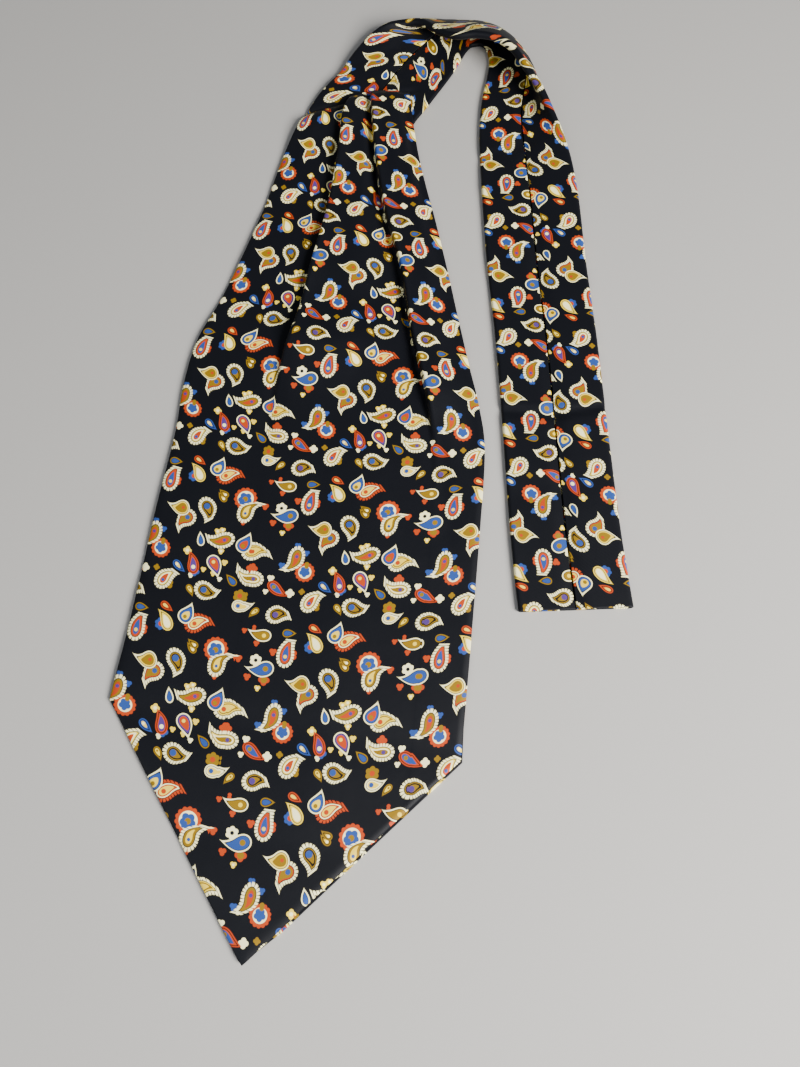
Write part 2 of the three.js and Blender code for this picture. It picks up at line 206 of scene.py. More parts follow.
# Large paisleys, then small ones, in the order of a Paisley's fields.
PAISLEYS = tuple(
    Paisley(*row)
    for row in (
        (3.0, 3.1, 240, 4.8, 0.64, -0.79, CREAM, RUST, GOLD, GOLD, BLUE, 0.24, 0.05),
        (0.0, -1.8, 245, 5.3, 0.77, 0.84, None, CREAM, YELLOW, GOLD, RUST, 0.15),
        (15.1, -3.4, 140, 5.1, 0.60, 0.54, CREAM, GOLD, INK, GOLD, BLUE, 0.31, 0.30),
        (34.4, -6.2, 8, 5.4, 0.53, 1.06, CREAM, GOLD, GOLD, YELLOW, BLUE, 0.14, 0.30),
        (-27.7, 51.6, 265, 5.7, 0.52, 0.47, None, CREAM, GOLD, GOLD, YELLOW, 0.17),
        (-14.6, 59.6, 2, 6.1, 0.46, 0.24, CREAM, RUST, RUST, BLUE, YELLOW, 0.14, 0.10),
        (-26.5, 68.5, 245, 6.5, 0.56, 0.61, None, CREAM, BLUE, BLUE, GOLD, 0.20),
        (22.4, 12.2, 243, 6.1, 0.42, 0.57, CREAM, GOLD, GOLD, RUST, VIOLET, 0.14, 0.10),
        (-32.0, 8.2, 58, 5.5, 0.56, 0.93, CREAM, YELLOW, GOLD, YELLOW, RUST, 0.20, 0.05),
        (-36.8, 4.7, 35, 5.4, 0.69, -0.39, None, CREAM, BLUE, RUST, GOLD, 0.18, 0.0, 2.7),
        (15.3, 53.5, 50, 5.9, 0.52, 0.59, RUST, CREAM, RUST, YELLOW, RUST, 0.18, 0.05),
        (9.7, 50.6, 33, 5.2, 0.71, -0.41, None, CREAM, BLUE, YELLOW, GOLD, 0.18, 0.0, 2.8),
        (-12.1, 14.0, 186, 6.0, 0.45, 0.76, CREAM, GOLD, GOLD, RUST, VIOLET, 0.14, 0.25),
        (9.8, 24.9, 348, 5.8, 0.50, -0.32, None, RUST, RUST, VIOLET, CREAM, 0.17, 0.05),
        (21.1, 24.8, 142, 5.7, 0.60, 0.30, None, CREAM, VIOLET, RUST, YELLOW, 0.15),
        (-34.8, 22.9, 268, 5.9, 0.44, 0.79, CREAM, YELLOW, CREAM, GOLD, VIOLET, 0.15, 0.05),
        (-20.6, 28.9, 128, 6.0, 0.48, -0.29, None, RUST, RUST, BLUE, GOLD, 0.17, 0.10),
        (-3.5, 34.0, 25, 5.2, 0.54, 0.47, CREAM, YELLOW, CREAM, RUST, BLUE, 0.15, 0.10),
        (17.8, 38.7, 118, 4.8, 0.66, -0.59, CREAM, GOLD, INK, GOLD, BLUE, 0.31, 0.30),
        (-36.5, 37.4, 95, 4.8, 0.61, -0.64, None, CREAM, CREAM, YELLOW, BLUE, 0.22),
        (-19.1, 40.8, 62, 4.5, 0.68, 0.64, CREAM, GOLD, INK, GOLD, VIOLET, 0.31, 0.30),
        (-0.8, 54.9, 330, 5.6, 0.52, -0.35, None, YELLOW, YELLOW, CREAM, CREAM, 0.22),
        (21.2, -10.9, 305, 3.1, 0.55, 0.17, None, GOLD, GOLD, YELLOW, CREAM, 0.2),
        (-13.4, 50.6, 85, 3.3, 0.6, 0.00, None, GOLD, BLUE, BLUE, BLUE),
        (12.5, 12.4, 345, 3.6, 0.52, 0.00, None, CREAM, BLUE, BLUE, BLUE),
        (-42.7, 23.7, 310, 3.6, 0.55, 0.00, None, GOLD, BLUE, BLUE, BLUE),
        (2.8, 27.9, 130, 3.9, 0.5, -0.17, None, BLUE, BLUE, YELLOW, CREAM, 0.16),
        (9.8, 38.9, 140, 3.1, 0.52, 0.17, None, GOLD, YELLOW, YELLOW, GOLD, 0.16),
        (-31.3, 40.2, 225, 3.1, 0.52, -0.17, None, GOLD, YELLOW, YELLOW, GOLD, 0.16),
        (-0.9, 48.7, 115, 3.5, 0.52, 0.00, None, RUST, RUST, YELLOW, YELLOW, 0.12),
        (13.5, 64.5, 295, 3.0, 0.55, 0.17, None, GOLD, GOLD, YELLOW, CREAM, 0.2),
    )
)


@dataclass(frozen=True)
class Table:
    """Measured rows under named columns, with one smooth curve through each column."""

    columns: Sequence[str]
    rows: Sequence[Sequence[float]]

    @property
    def last(self) -> int:
        """Number of the last row."""
        return len(self.rows) - 1

    def column(self, name: str) -> Array:
        """Args: name of the column. Returns: its values."""
        return np.array([row[self.columns.index(name)] for row in self.rows], float)

    def through(self, name: str, b: Array) -> Array:
        """Smooth curve through a column: a cubic between rows, with slopes from the rows beside them.

        Args:
            name: the column.
            b: row numbers, whole or between.
        Returns:
            The column's value at each.
        """
        values = self.column(name)
        padded = np.concatenate([[2 * values[0] - values[1]], values, [2 * values[-1] - values[-2]]])
        i = np.clip(np.floor(b).astype(int), 0, self.last - 1)
        t = b - i
        before, here, after, beyond = (padded[i + k] for k in range(4))
        slope_in = (after - before) / 2
        slope_out = (beyond - here) / 2
        return (
            (2 * t**3 - 3 * t**2 + 1) * here
            + (t**3 - 2 * t**2 + t) * slope_in
            + (3 * t**2 - 2 * t**3) * after
            + (t**3 - t**2) * slope_out
        )


# The under side of the band, from the blade's top round the turn and down the tail, in rows across it:
# the inner edge (foot), the point that the curve between the edges reaches towards, and the outer edge.
BAND_TABLE = Table(
    ("foot_x", "foot_y", "reach_x", "reach_y", "reach_z", "edge_x", "edge_y", "edge_z"),
    (
        (8, 262, -25, 265, 0, -59, 268, 0),
        (10, 266, -21, 276, 0, -50, 286, 0),
        (14, 272, -14, 287, 0, -39, 301, 0),
        (24, 288, -5, 304, 0, -28, 319, 2),
        (33, 303, 3, 319, 0, -17, 332, 5),
        (39, 315, 8, 334, 0, -4, 338, 10),
        (42, 321, 18, 346, 6, 12, 333, 15),
        (45, 325, 31, 347, 11, 24, 320, 18),
        (48, 326, 42, 346, 13, 34, 313, 21),
        (52, 326, 54, 344, 13, 46, 312, 23),
        (55, 321, 67, 335, 14, 58, 308, 24),
        (56, 311, 79, 320, 12, 68, 300, 24),
        (54, 298, 87, 302, 7, 77, 286, 22),
        (51, 284, 87, 284, 0, 87, 274, 17),
        (49, 268, 82, 266, 0, 95, 258, 11),
        (48, 250, 76, 249, 0, 100, 242, 6),
        (48, 228, 76, 227, 0, 103, 225, 3),
        (48.5, 200, 76, 199, 0, 105, 198, 1),
        (49.5, 163, 78, 162, 0, 106, 161, 0),
        (52, 122, 80, 121, 0, 108, 120, 0),
        (53.5, 86, 81, 86, 0, 109, 85, 0),
        (54.5, 50, 82, 49, 0, 110, 48, 0),
        (55.5, 7, 83, 5, 0, 111.5, 4, 0),
        (57, -26, 85, -26, 0, 113.5, -26, 0),
        (58, -41, 86, -40, 0, 114.5, -39, 0),
    ),
)

# The blade from the band down to where its point begins: its side edges and the folded edges of its two
# pleats, the cloth that runs back under each pleat, each fold's turn in degrees, and a lift at the band.
BLADE_TABLE = Table(
    (
        "left_x", "left_y", "pleat_a_x", "pleat_a_y", "pleat_b_x", "pleat_b_y", "right_x", "right_y",
        "under_a", "under_b", "turn_a", "turn_b", "lift",
    ),
    (
        (-58, 268.5, -29.5, 280, -17, 284, 6, 287, 5, 10, 180, 180, 2.4),
        (-63, 257, -34, 266, -16.5, 270, 7, 270, 7, 12, 180, 180, 2.4),
        (-70, 237, -36, 240, -14, 238, 11.5, 236, 13, 15, 180, 180, 0),
        (-79.5, 200, -41.5, 198, -8, 196, 19.5, 196, 14, 15, 180, 180, 0),
        (-90.5, 165, -49.5, 160, 1, 157, 27.5, 153, 11, 11, 180, 180, 0),
        (-101, 136, -56, 126, 6, 122, 33.5, 118, 6, 7, 180, 180, 0),
        (-111.5, 111, -61.5, 103, 10, 99, 37.5, 95, 2, 4, 100, 180, 0),
        (-116.5, 84, -64.5, 77, 15.5, 73, 42, 71, 0.6, 1.6, 20, 100, 0),
        (-118.5, 55, -66.5, 48, 20, 45, 44.2, 44, 0.6, 0.6, 0, 20, 0),
        (-124.5, 13, -70, 2, 18, -4, 39.5, -7, 0.6, 0.6, 0, 0, 0),
        (-132, -49, -76, -60, 12, -65, 33, -67, 0.6, 0.6, 0, 0, 0),
    ),
)


# The front's first row: the points that its seam to the band runs through.
BLADE_TOP = tuple(zip(BLADE_TABLE.rows[0][0:8:2], BLADE_TABLE.rows[0][1:8:2]))


def smooth(t: Array | float) -> Array:
    """Args: t, any numbers. Returns: 0 below 0, 1 above 1, and a soft step between."""
    s = np.clip(t, 0.0, 1.0)
    return s * s * (3 - 2 * s)


def hill(distance: Array | float, reach: float) -> Array:
    """Args: distance from the middle, and half width. Returns: a bell curve of height 1."""
    return np.exp(-np.square(distance / reach))


def running_length(places: Array, axis: int) -> Array:
    """Args: a grid of points and one way along it. Returns: length from the grid's first line to each."""
    run = np.cumsum(np.linalg.norm(np.diff(places, axis=axis), axis=2), axis=axis)
    return np.concatenate([np.zeros_like(np.take(run, [0], axis=axis)), run], axis=axis)


def steps(
    start: float, end: float, count: int, length: float, first: bool = False, last: bool = False
) -> Array:
    """Even steps, with finer ones where a rounded edge of the cloth begins or ends.

    Args:
        start: first value.
        end: last value.
        count: number of even steps.
        length: millimetres from start to end.
        first: True for finer steps after the start.
        last: True for finer steps before the end.
    Returns:
        The values in order.
    """
    values = np.linspace(start, end, count + 1)
    fine = np.array(FINE_STEPS) / length * (end - start)
    if first:
        values = np.concatenate([values, start + fine])
    if last:
        values = np.concatenate([values, end - fine])
    return np.unique(values)


@dataclass(frozen=True)
class Crease:
    """A soft trough or ridge pressed in the cloth, along a straight line on the ground."""

    start: tuple[float, float]
    end: tuple[float, float]
    reach: float
    height: float
    fade: float = 2.5

    def at(self, x: Array, y: Array) -> Array:
        """Height of the crease: a bell across its line that fades beyond its ends.

        Args:
            x: places on the ground.
            y: the same.
        Returns:
            Millimetres, below zero in a trough.
        """
        start = np.array(self.start)
        way = np.array(self.end) - start
        length = float(np.hypot(*way))
        along = ((x - start[0]) * way[0] + (y - start[1]) * way[1]) / length
        across = ((x - start[0]) * way[1] - (y - start[1]) * way[0]) / length
        beyond = np.maximum(np.maximum(-along, along - length), 0.0)
        return self.height * hill(across, self.reach) * hill(beyond, self.fade * self.reach)


BLADE_CREASES = (
    Crease((-70, 204), (16, 208), 11, -0.7),
    Crease((-92, 142), (30, 134), 13, -0.6),
    Crease((-120, -18), (36, -36), 12, -0.6),
    Crease((-128, -90), (24, -108), 10, -0.7),
    Crease((-96, -142), (-20, -152), 9, -0.6),
    Crease((-64, 98), (-70, 60), 5, -0.7),
    Crease((20, 58), (24, 10), 6, -0.6),
    Crease((-30, 262), (-36, 228), 3, 0.5),
    Crease((-52, 262), (-66, 214), 5, 0.6),
    Crease((-6, 262), (-2, 226), 4, 0.5),
    Crease((4, 262), (14, 214), 4, -0.5),
    Crease((-20, 180), (-30, 110), 9, 0.5),
    Crease((-96, 60), (-112, -40), 14, 0.5),
    Crease((-20, 20), (-40, -120), 16, 0.5),
)

BAND_CREASES = (
    Crease((52, 68), (82, 66), 2.2, -1.0),
    Crease((82, 66), (112, 70), 2.2, -1.0),
    Crease((50, 236), (76, 246), 4, -0.7),
    Crease((52, 214), (70, 210), 7, 0.4),
    Crease((80, 214), (102, 206), 8, 0.5),
    Crease((52, 146), (76, 150), 9, -0.4),
    Crease((84, 132), (108, 128), 9, -0.4),
    Crease((56, 20), (82, 24), 8, -0.4),
    Crease((-36, 292), (-20, 286), 4, 0.5),
    Crease((-8, 296), (22, 300), 4, -0.6),
    Crease((-30, 306), (-6, 318), 4, -0.5),
)


@dataclass
class ClothSheet:
    """A sheet of cloth worked out on a grid: the middle of its wall, and its place in the print.

    places: rows by columns of x, y, z in millimetres.
    print_at: rows by columns of millimetres across and along the flat cloth.
    """

    name: str
    places: Array
    print_at: Array
    thickness: float

    def _edge_distance(self) -> Array:
        """Measures along the cloth from each grid point to the nearest edge of the sheet.

        Returns:
            Millimetres at each point.
        """
        def from_ends(axis: int) -> Array:
            """Args: one way along the grid. Returns: the distance from the nearer end of that way."""
            run = running_length(self.places, axis)
            return np.minimum(run, np.take(run, [-1], axis=axis) - run)

        return np.minimum(from_ends(0), from_ends(1))

    def _half_thickness(self) -> Array:
        """Works out half the wall: even, but within half a wall of an edge it follows a half circle.

        Returns:
            Millimetres at each point.
        """
        half = self.thickness / 2
        inside = np.clip(self._edge_distance() / half, 0.0, 1.0)
        return half * np.sqrt(np.clip(1 - np.square(1 - inside), 0.0, 1.0))

    def _normals(self) -> Array:
        """Returns: unit direction square to the sheet at each point."""
        normal = np.cross(np.gradient(self.places, axis=1), np.gradient(self.places, axis=0))
        return normal / np.maximum(np.linalg.norm(normal, axis=2, keepdims=True), 1e-12)

    def build(self, silk: Material) -> Object:
        """A closed wall round the sheet, with round edges and the print's place in a UV map.

        Each side is the sheet moved by half the wall along its normal; both sides share the border.

        Args:
            silk: the material it is made of.
        Returns:
            The new object.
        """
        rows, columns = self.places.shape[:2]
        offset = self._normals() * self._half_thickness()[:, :, None]
        upper = self.places + offset
        lower = self.places - offset
        for side in (upper, lower):
            side[:, :, 2] = np.maximum(side[:, :, 2], LEAST_HEIGHT)
        top = np.arange(rows * columns).reshape(rows, columns)
        inner = np.zeros((rows, columns), bool)
        inner[1:-1, 1:-1] = True
        under = top.copy()
        under[inner] = rows * columns + np.arange(int(inner.sum()))
        points = np.concatenate([upper.reshape(-1, 3), lower[inner]])
        print_at = np.concatenate([self.print_at.reshape(-1, 2), self.print_at[inner]])

        def quads(grid: Array) -> Array:
            """Args: a grid of point numbers. Returns: rows of four that go round each of its fields."""
            corners = [grid[:-1, :-1], grid[:-1, 1:], grid[1:, 1:], grid[1:, :-1]]
            return np.stack(corners, axis=2).reshape(-1, 4)

        faces = np.concatenate([quads(top), quads(under)[:, ::-1]])
        made = cloth_object(self.name, (points - CENTRE) * MM, faces, print_at)
        made.data.materials.append(silk)
        return made


def cloth_object(name: str, points: Array, faces: Array, print_at: Array) -> Object:
    """An object of these points and four-cornered faces, turned outward, with a UV map in millimetres.

    Args:
        name: name of the object.
        points: places in metres.
        faces: rows of four point numbers.
        print_at: place of each point in the print.
    Returns:
        The object, smooth-shaded and linked to the scene.
    """
    a, b, c, d = (points[faces[:, k]] for k in range(4))
    volume = np.sum(np.cross(b, c) * a) + np.sum(np.cross(c, d) * a)
    if volume < 0:
        faces = faces[:, ::-1]
    mesh = bpy.data.meshes.new(name)
    mesh.from_pydata(points.tolist(), [], faces.tolist())
    layer = mesh.uv_layers.new(name="cloth")
    layer.data.foreach_set("uv", print_at[faces.reshape(-1)].astype(np.float32).reshape(-1))
    mesh.polygons.foreach_set("use_smooth", np.ones(len(mesh.polygons), bool))
    mesh.update()
    made = bpy.data.objects.new(name, mesh)
    bpy.context.scene.collection.objects.link(made)
    return made


@dataclass
class NeckBand:
    """The neck band: a strip folded to a flat tube, with its seam up the middle of the upper side."""

    silk: Material
    table: Table = BAND_TABLE
    wall: float = 0.9
    width: float = 57.0
    cut_width: float = 116.0
    length: float = 520.0
    end_height: float = 2.6
    end_rows: float = 2.0
    inner_height: float = 3.0
    puff: float = 1.4
    slit: float = 0.7
    seam_dip: float = 0.8
    seam_reach: float = 4.0
    join_depth: float = 1.1
    join_reach: float = 2.6
    upper_from: float = 1.2
    creased_below: float = 6.0
    row_steps: int = 384
    curve_steps: int = 72
    face_steps: int = 24
    fold_steps: int = 12
    under_steps: int = 26
    nearby: float = 1e-4
    least_share: float = 0.002
    print_row_y: float = 155.5
    print_inner: float = 7.0
    stretch_across: float = -8.0
    stretch_along: float = -8.7
    stretch_slant: float = -31.7
    print_settled: float = 15.5
    print_run: float = 11.5

    def _curve(self, t: Array, b: Array) -> Array:
        """Under side of the band, a cubic curve from foot to edge by way of the reach.

        Args:
            t: places on the curve, from 0 to 1, as rows by columns.
            b: row numbers of the table, as rows by 1.
        Returns:
            Points, as rows by columns by 3.
        """
        u = 1 - t
        value = {name: self.table.through(name, b) for name in self.table.columns}
        x = u**3 * value["foot_x"] + 3 * t * u * value["reach_x"] + t**3 * value["edge_x"]
        y = u**3 * value["foot_y"] + 3 * t * u * value["reach_y"] + t**3 * value["edge_y"]
        z = 3 * t * t * u * value["reach_z"] + t**3 * value["edge_z"]
        return np.stack([x, y, z], axis=2)

    def _run(self, b: Array) -> Array:
        """Args: b, rows by 1. Returns: lengths along the under side's curve at even values of t."""
        t = np.linspace(0, 1, self.curve_steps + 1)[None, :] + 0 * b
        return running_length(self._curve(t, b), 1)

    def _under(self, share: Array, b: Array, run: Array) -> Array:
        """Finds points of the under side by their share of its length.

        Args:
            share: places across the band, from 0 to 1.
            b: row numbers, as rows by 1.
            run: the rows' lengths.
        Returns:
            Points, as rows by columns by 3.
        """
        wanted = share * run[:, -1:]
        i = np.clip((run[:, None, :] <= wanted[:, :, None]).sum(axis=2) - 1, 0, self.curve_steps - 1)
        low = np.take_along_axis(run, i, axis=1)
        high = np.take_along_axis(run, i + 1, axis=1)
        return self._curve((i + (wanted - low) / (high - low)) / self.curve_steps, b)

    def _height(self, share: Array, b: Array, width: Array) -> Array:
        """Height of the folded band over its under side: higher at the outer edge, low at the seam.

        Args:
            share: places across the band, from 0 to 1.
            b: row numbers, as rows by 1.
            width: the rows' widths.
        Returns:
            Millimetres.
        """
        pressed = 1 - smooth(b / self.end_rows)
        open_height = self.inner_height + self.puff * smooth(share)
        open_height = open_height - self.seam_dip * hill((share - 0.5) * width, self.seam_reach)
        return open_height + (self.end_height - open_height) * pressed

    def _round(self, b: Array, width: Array) -> tuple[Array, Array]:
        """Way round the tube: inner face, inner fold, under side, outer fold, outer face.

        Args:
            b: row numbers, as rows by 1.
            width: the rows' widths.
        Returns:
            Share across and height over the under side, each as rows by columns.
        """
        half = self.wall / 2
        lip = 0.5 - self.slit / 2 / width
        ones = np.ones_like(width)

        def radius(share: Array) -> Array:
            """Args: share across. Returns: radius of the fold that the wall's middle follows there."""
            return (self._height(share, b, width) - self.wall) / 2

        start_in = (radius(0 * ones) + half) / width
        start_out = 1 - (radius(ones) + half) / width
        face = self.width / 2
        inward = steps(0, 1, self.face_steps, face, first=True)[None, :]
        turn = np.linspace(0, math.pi, self.fold_steps + 1)[None, 1:]
        under = np.linspace(0, 1, self.under_steps + 1)[None, 1:]
        outward = steps(0, 1, self.face_steps, face, last=True)[None, 1:]
        r_in, r_out = radius(start_in), radius(start_out)
        shares = [
            lip + (start_in - lip) * inward,
            start_in - r_in * np.sin(turn) / width,
            start_in + (start_out - start_in) * under,
            start_out + r_out * np.sin(turn) / width,
            start_out + (1 - lip - start_out) * outward,
        ]
        heights = [
            self._height(shares[0], b, width) - half,
            half + r_in * (1 + np.cos(turn)),
            half + 0 * shares[2],
            half + r_out * (1 - np.cos(turn)),
            self._height(shares[4], b, width) - half,
        ]
        return np.concatenate(shares, axis=1), np.concatenate(heights, axis=1)

    def _join_valley(self, x: Array, y: Array) -> Array:
        """Args: places on the ground. Returns: how far the band sinks along its seam to the blade."""
        ends = zip(BLADE_TOP[:-1], BLADE_TOP[1:])
        return np.max([Crease(p, q, self.join_reach, self.join_depth).at(x, y) for p, q in ends], axis=0)

    def _up(self, share: Array, b: Array, run: Array) -> Array:
        """Direction square to the under side: along its length crossed with across it.

        Args:
            share: places across the band, from 0 to 1.
            b: row numbers, as rows by 1.
            run: the rows' lengths.
        Returns:
            Unit directions, as rows by columns by 3.
        """
        near = self.nearby
        inside = np.clip(share, self.least_share, 1 - self.least_share)
        across = self._under(inside + near, b, run) - self._under(inside - near, b, run)
        later, sooner = (np.clip(b + way * near, 0, self.table.last) for way in (1, -1))
        along = self._under(inside, later, self._run(later)) - self._under(inside, sooner, self._run(sooner))
        up = np.cross(along, across)
        return up / np.linalg.norm(up, axis=2, keepdims=True)

    def build(self) -> Object:
        """Works out the tube's surface and its place in the print, then builds and dresses it.

        Each point is the under side's point moved up along the under side's normal.

        Returns:
            The band.
        """
        b = steps(0, self.table.last, self.row_steps, self.length, first=True, last=True)[:, None]
        run = self._run(b)
        share, height = self._round(b, run[:, -1:])
        under = self._under(share, b, run)
        x, y, z = np.moveaxis(under, 2, 0)
        crease = sum(line.at(x, y) for line in BAND_CREASES) * (z < self.creased_below)
        height = height + smooth(height - self.upper_from) * (crease - self._join_valley(x, y))
        places = under + self._up(share, b, run) * height[:, :, None]
        print_at = self._print_at(places, share, b)
        band = ClothSheet("neck_band_silk", places, print_at, self.wall).build(self.silk)
        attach(band, "root")
        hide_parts("band_stretch", "band_turn", "band_tail")
        flat = (self.cut_width * MM, self.length * MM)
        return band

    def _print_at(self, places: Array, share: Array, b: Array) -> Array:
        """Place in the print: distance round the tube from its inner fold, and along it from one row.

        Args:
            places: points of the tube.
            share: their places across the band.
            b: row numbers, as rows by 1.
        Returns:
            Millimetres across and along the print.
        """
        around = running_length(places, 1)
        fold = np.argmin(share, axis=1)[:, None]
        across = around - np.take_along_axis(around, fold, axis=1) + self.print_inner
        down = running_length(places, 0)
        mark = int(np.argmin(np.abs(self.table.through("reach_y", b[:, 0]) - self.print_row_y)))
        along = -(down - down[mark])
        stretch = np.clip((self.print_settled - b) / self.print_run, 0, 1)
        across = across + self.stretch_across * stretch
        along = along + (self.stretch_along + self.stretch_slant * share) * stretch
        return np.stack([across, along], axis=2)


@dataclass
class BladeFront:
    """The front of the blade: one panel of silk with two pleats pressed to the left, ending in a point."""

    silk: Material
    table: Table = BLADE_TABLE
    lines: tuple[str, ...] = ("left", "pleat_a", "pleat_b", "right")
    wall: float = 0.8
    cut_width: float = 164.5
    cut_length: float = 478.0
    pleated_length: float = 370.0
    point_length: float = 90.0
    point_rise: float = 105.0
    over_facing: float = 1.85
    between_troughs: float = 0.8
    settled_rows: float = 2.0
    fold_arc: float = 2.3
    least_turn: float = 0.02
    least_under: float = 0.5
    lean_out: float = 2.0
    tip: tuple[float, float] = (-68, -196)
    tip_share: float = 0.455
    left_corner: tuple[float, float] = (-137.3, -83)
    right_corner: tuple[float, float] = (28, -111)
    edge_roll: float = 0.95
    roll_reach: float = 2.6
    slant_share: float = 0.8
    seam_depth: float = 1.7
    seam_reach: float = 3.2
    pleat_shares: tuple[float, float] = (0.55, 0.45)
    pleat_rise: float = 2.2
    pleat_reach: float = 8.0
    pleat_edge: float = 0.9
    pleat_ends: tuple[float, float] = (6.3, 7.6)
    pleat_fade: float = 1.6
    pleat_at_seam: float = 0.35
    pleat_full_row: float = 1.5
    valley_depth: float = 1.5
    valley_reach: float = 4.0
    valley_start: float = 1.2
    print_left: float = -85.5
    print_row_y: float = 231.1
    row_steps: int = 190
    point_steps: int = 56
    panel_steps: tuple[int, int, int] = (34, 44, 30)
    panel_width: float = 32.0
    turn_steps: int = 7
    back_steps: int = 5

    @property
    def last(self) -> float:
        """Row where the point begins."""
        return float(self.table.last)

    def _fold(self, under: Array, turn: Array) -> tuple[Array, Array, Array]:
        """Works out one fold: its radius is the fold's length of cloth over its turn.

        Args:
            under: cloth that runs back under the pleat.
            turn: the fold's turn in degrees.
        Returns:
            The turn in radians, its radius, and how far the fold moves on across the ground.
        """
        angle = np.maximum(np.radians(turn), self.least_turn)
        radius = self.fold_arc / angle
        return angle, radius, 2 * radius * np.sin(angle) + under * np.cos(angle)

    def line(self, k: int, b: Array) -> Array:
        """Args: number of a line down the blade, and row numbers. Returns: its places on the ground."""
        return np.stack([self.table.through(f"{self.lines[k]}_{axis}", b) for axis in "xy"], axis=2)

    def _gap(self, k: int, b: Array) -> Array:
        """Args: number of a panel, and row numbers. Returns: the panel's width on the ground."""
        return np.linalg.norm(self.line(k + 1, b) - self.line(k, b), axis=2)

    def _section(self, b: Array) -> tuple[Array, Array, Array, Array]:
        """Way across the blade in nine stretches: panel, fold, way back, fold, and so on.

        Args:
            b: row numbers, as rows by 1.
        Returns:
            Distance across, height, length of cloth and cloth folded away, as rows by columns.
        """
        panels = [self._gap(k, b) for k in range(3)]
        unders = [np.maximum(self.table.through(f"under_{name}", b), self.least_under) for name in "ab"]
        folds = [self._fold(unders[k], self.table.through(f"turn_{name}", b)) for k, name in enumerate("ab")]
        cloth = sum(panels) + sum(2 * self.fold_arc + unders[k] - folds[k][2] for k in range(2))
        missing = self.cut_width - cloth
        stretches = []
        start, rise, length, away = (0 * b for _ in range(4))

        def lay(way: Array, across: Array, up: Array, lost: Array | float = 0.0) -> None:
            """Args: cloth and distance from the stretch's start, height, and cloth folded away in it."""
            stretches.append((start + across, up, length + way, away + lost + 0 * way))

        for k, panel in enumerate(panels):
            fall = unders[k - 1] + self.lean_out if k else 0 * b

            def drop(way: Array) -> Array:
                """Args: distance from the panel's start. Returns: the share of its rise that is left."""
                return 1 - smooth((way - fall) / np.maximum(panel - fall - self.lean_out, 1))

            part = steps(0, 1, self.panel_steps[k], self.panel_width, first=k == 0, last=k == 2)
            flat = panel - (folds[k][2] if k < 2 else 0)
            way = flat * part[None, min(k, 1):]
            lay(way, way, rise * drop(way))
            if k == 2:
                break
            start, rise, length = start + flat, rise * drop(flat), length + flat
            angle, radius, _ = folds[k]
            turn = angle * np.linspace(0, 1, self.turn_steps + 1)[None, 1:]
            back = unders[k] * np.linspace(0, 1, self.back_steps + 1)[None, 1:]
            lost = missing * self.pleat_shares[k]
            fold_across, fold_up = radius * np.sin(angle), radius * (1 - np.cos(angle))
            lay(radius * turn, radius * np.sin(turn), rise + radius * (1 - np.cos(turn)))
            start, rise, length = start + fold_across, rise + fold_up, length + self.fold_arc
            lay(back, back * np.cos(angle), rise + back * np.sin(angle), lost * back / unders[k])
            start, rise = start + unders[k] * np.cos(angle), rise + unders[k] * np.sin(angle)
            length, away = length + unders[k], away + lost
            rest = angle - turn
            up = rise + radius * (np.cos(rest) - np.cos(angle))
            lay(radius * turn, fold_across - radius * np.sin(rest), up)
            start, rise, length = start + fold_across, rise + fold_up, length + self.fold_arc
        across, up, ways, hidden = (np.concatenate(pieces, axis=1) for pieces in zip(*stretches))
        return across, up, ways, hidden

    def _ground(self, across: Array, b: Array) -> Array:
        """Finds places on the ground: straight between the four lines that run down the blade.

        Args:
            across: distances across the blade.
            b: row numbers, as rows by 1.
        Returns:
            Places across and along, as rows by columns by 2.
        """
        corners = [self.line(k, b) for k in range(len(self.lines))]
        lengths = [np.linalg.norm(q - p, axis=2) for p, q in zip(corners[:-1], corners[1:])]
        marks = [0 * lengths[0], lengths[0], lengths[0] + lengths[1]]
        place = np.zeros(across.shape + (2,))
        for k in range(3):
            share = ((across - marks[k]) / lengths[k])[:, :, None]
            along = corners[k] + (corners[k + 1] - corners[k]) * share
            chosen = (across >= marks[k]) if k else np.ones_like(across, bool)
            place = np.where(chosen[:, :, None], along, place)
        return place

    def point_edge(self, share: Array) -> Array:
        """Finds places on the two slants that meet at the tip.

        Args:
            share: share of the blade's width, from 0 to 1.
        Returns:
            Places across and along.
        """
        left, tip, right = (np.array(p, float) for p in (self.left_corner, self.tip, self.right_corner))
        first = left + (tip - left) * (share / self.tip_share)[:, :, None]
        second = tip + (right - tip) * ((share - self.tip_share) / (1 - self.tip_share))[:, :, None]
        return np.where((share < self.tip_share)[:, :, None], first, second)

    def _pleat_puff(self, across: Array, row: Array) -> Array:
        """Rise of the cloth that lies over each pleat, and the valley beside its folded edge.

        Args:
            across: distance across the blade.
            row: row numbers, as rows by 1.
        Returns:
            Millimetres, up.
        """
        puff = 0 * across
        mark = 0 * row
        at_seam = self.pleat_at_seam + (1 - self.pleat_at_seam) * smooth(row / self.pleat_full_row)
        for k, end in enumerate(self.pleat_ends):
            mark = mark + self._gap(k, row)
            away = across - mark
            over = self.pleat_rise * np.exp(-np.maximum(away, 0) / self.pleat_reach)
            over = over * smooth((away + self.pleat_edge) / self.pleat_edge)
            valley = self.valley_depth * hill(np.minimum(away + self.valley_start, 0), self.valley_reach)
            valley = valley * smooth(-away / self.pleat_edge)
            puff = puff + (over - valley) * smooth((end - row) / self.pleat_fade) * at_seam
        return puff

